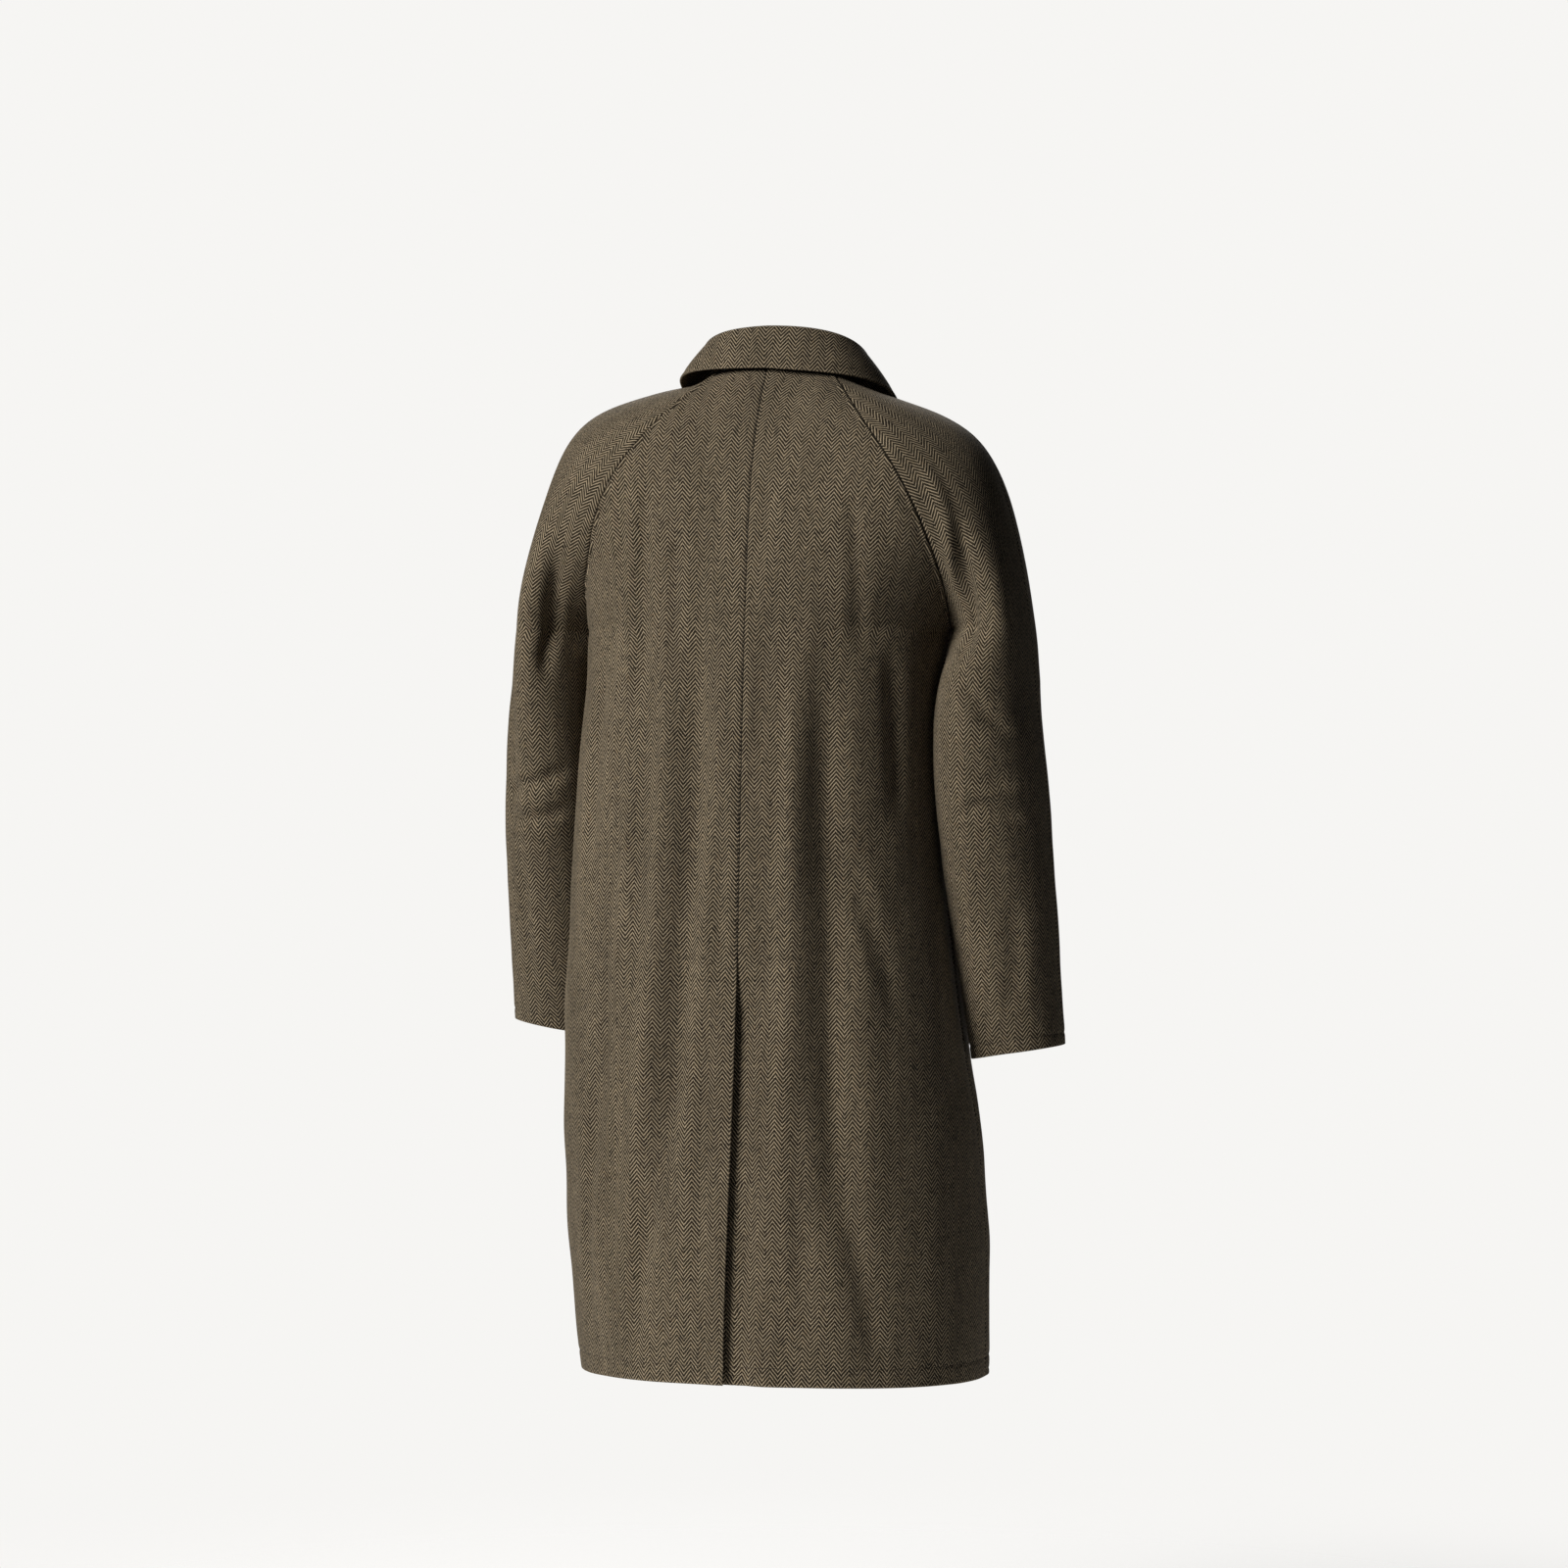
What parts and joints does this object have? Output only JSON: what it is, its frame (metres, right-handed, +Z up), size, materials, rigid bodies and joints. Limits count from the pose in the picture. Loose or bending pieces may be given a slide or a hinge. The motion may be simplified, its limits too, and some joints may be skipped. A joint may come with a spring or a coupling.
{
  "type": "raglan car coat",
  "caption": "Knee-length raglan car coat in brown herringbone tweed, standing hollow as if worn, with a turned-down collar and a back vent.",
  "frame": {"origin": "inside the neck ring, on the centre plane, at the height of the collar seam at the centre back", "axes": "+Z up along the standing coat; +X towards the wearer's left; the front faces -Y"},
  "size_m": [0.629, 0.351, 1.128],
  "materials": {
    "tweed": "matte",
    "tweed_collar": "matte",
    "horn": "satin"
  },
  "bodies": {
    "root": {"back_left": "tweed", "back_right": "tweed", "front_left": "tweed", "front_right": "tweed", "sleeve_back_left": "tweed", "sleeve_back_right": "tweed", "sleeve_front_left": "tweed", "sleeve_front_right": "tweed", "collar_stand": "tweed_collar", "collar_fall": "tweed_collar", "button_1": "horn", "button_2": "horn", "button_3": "horn", "button_4": "horn"}
  },
  "joints": []
}
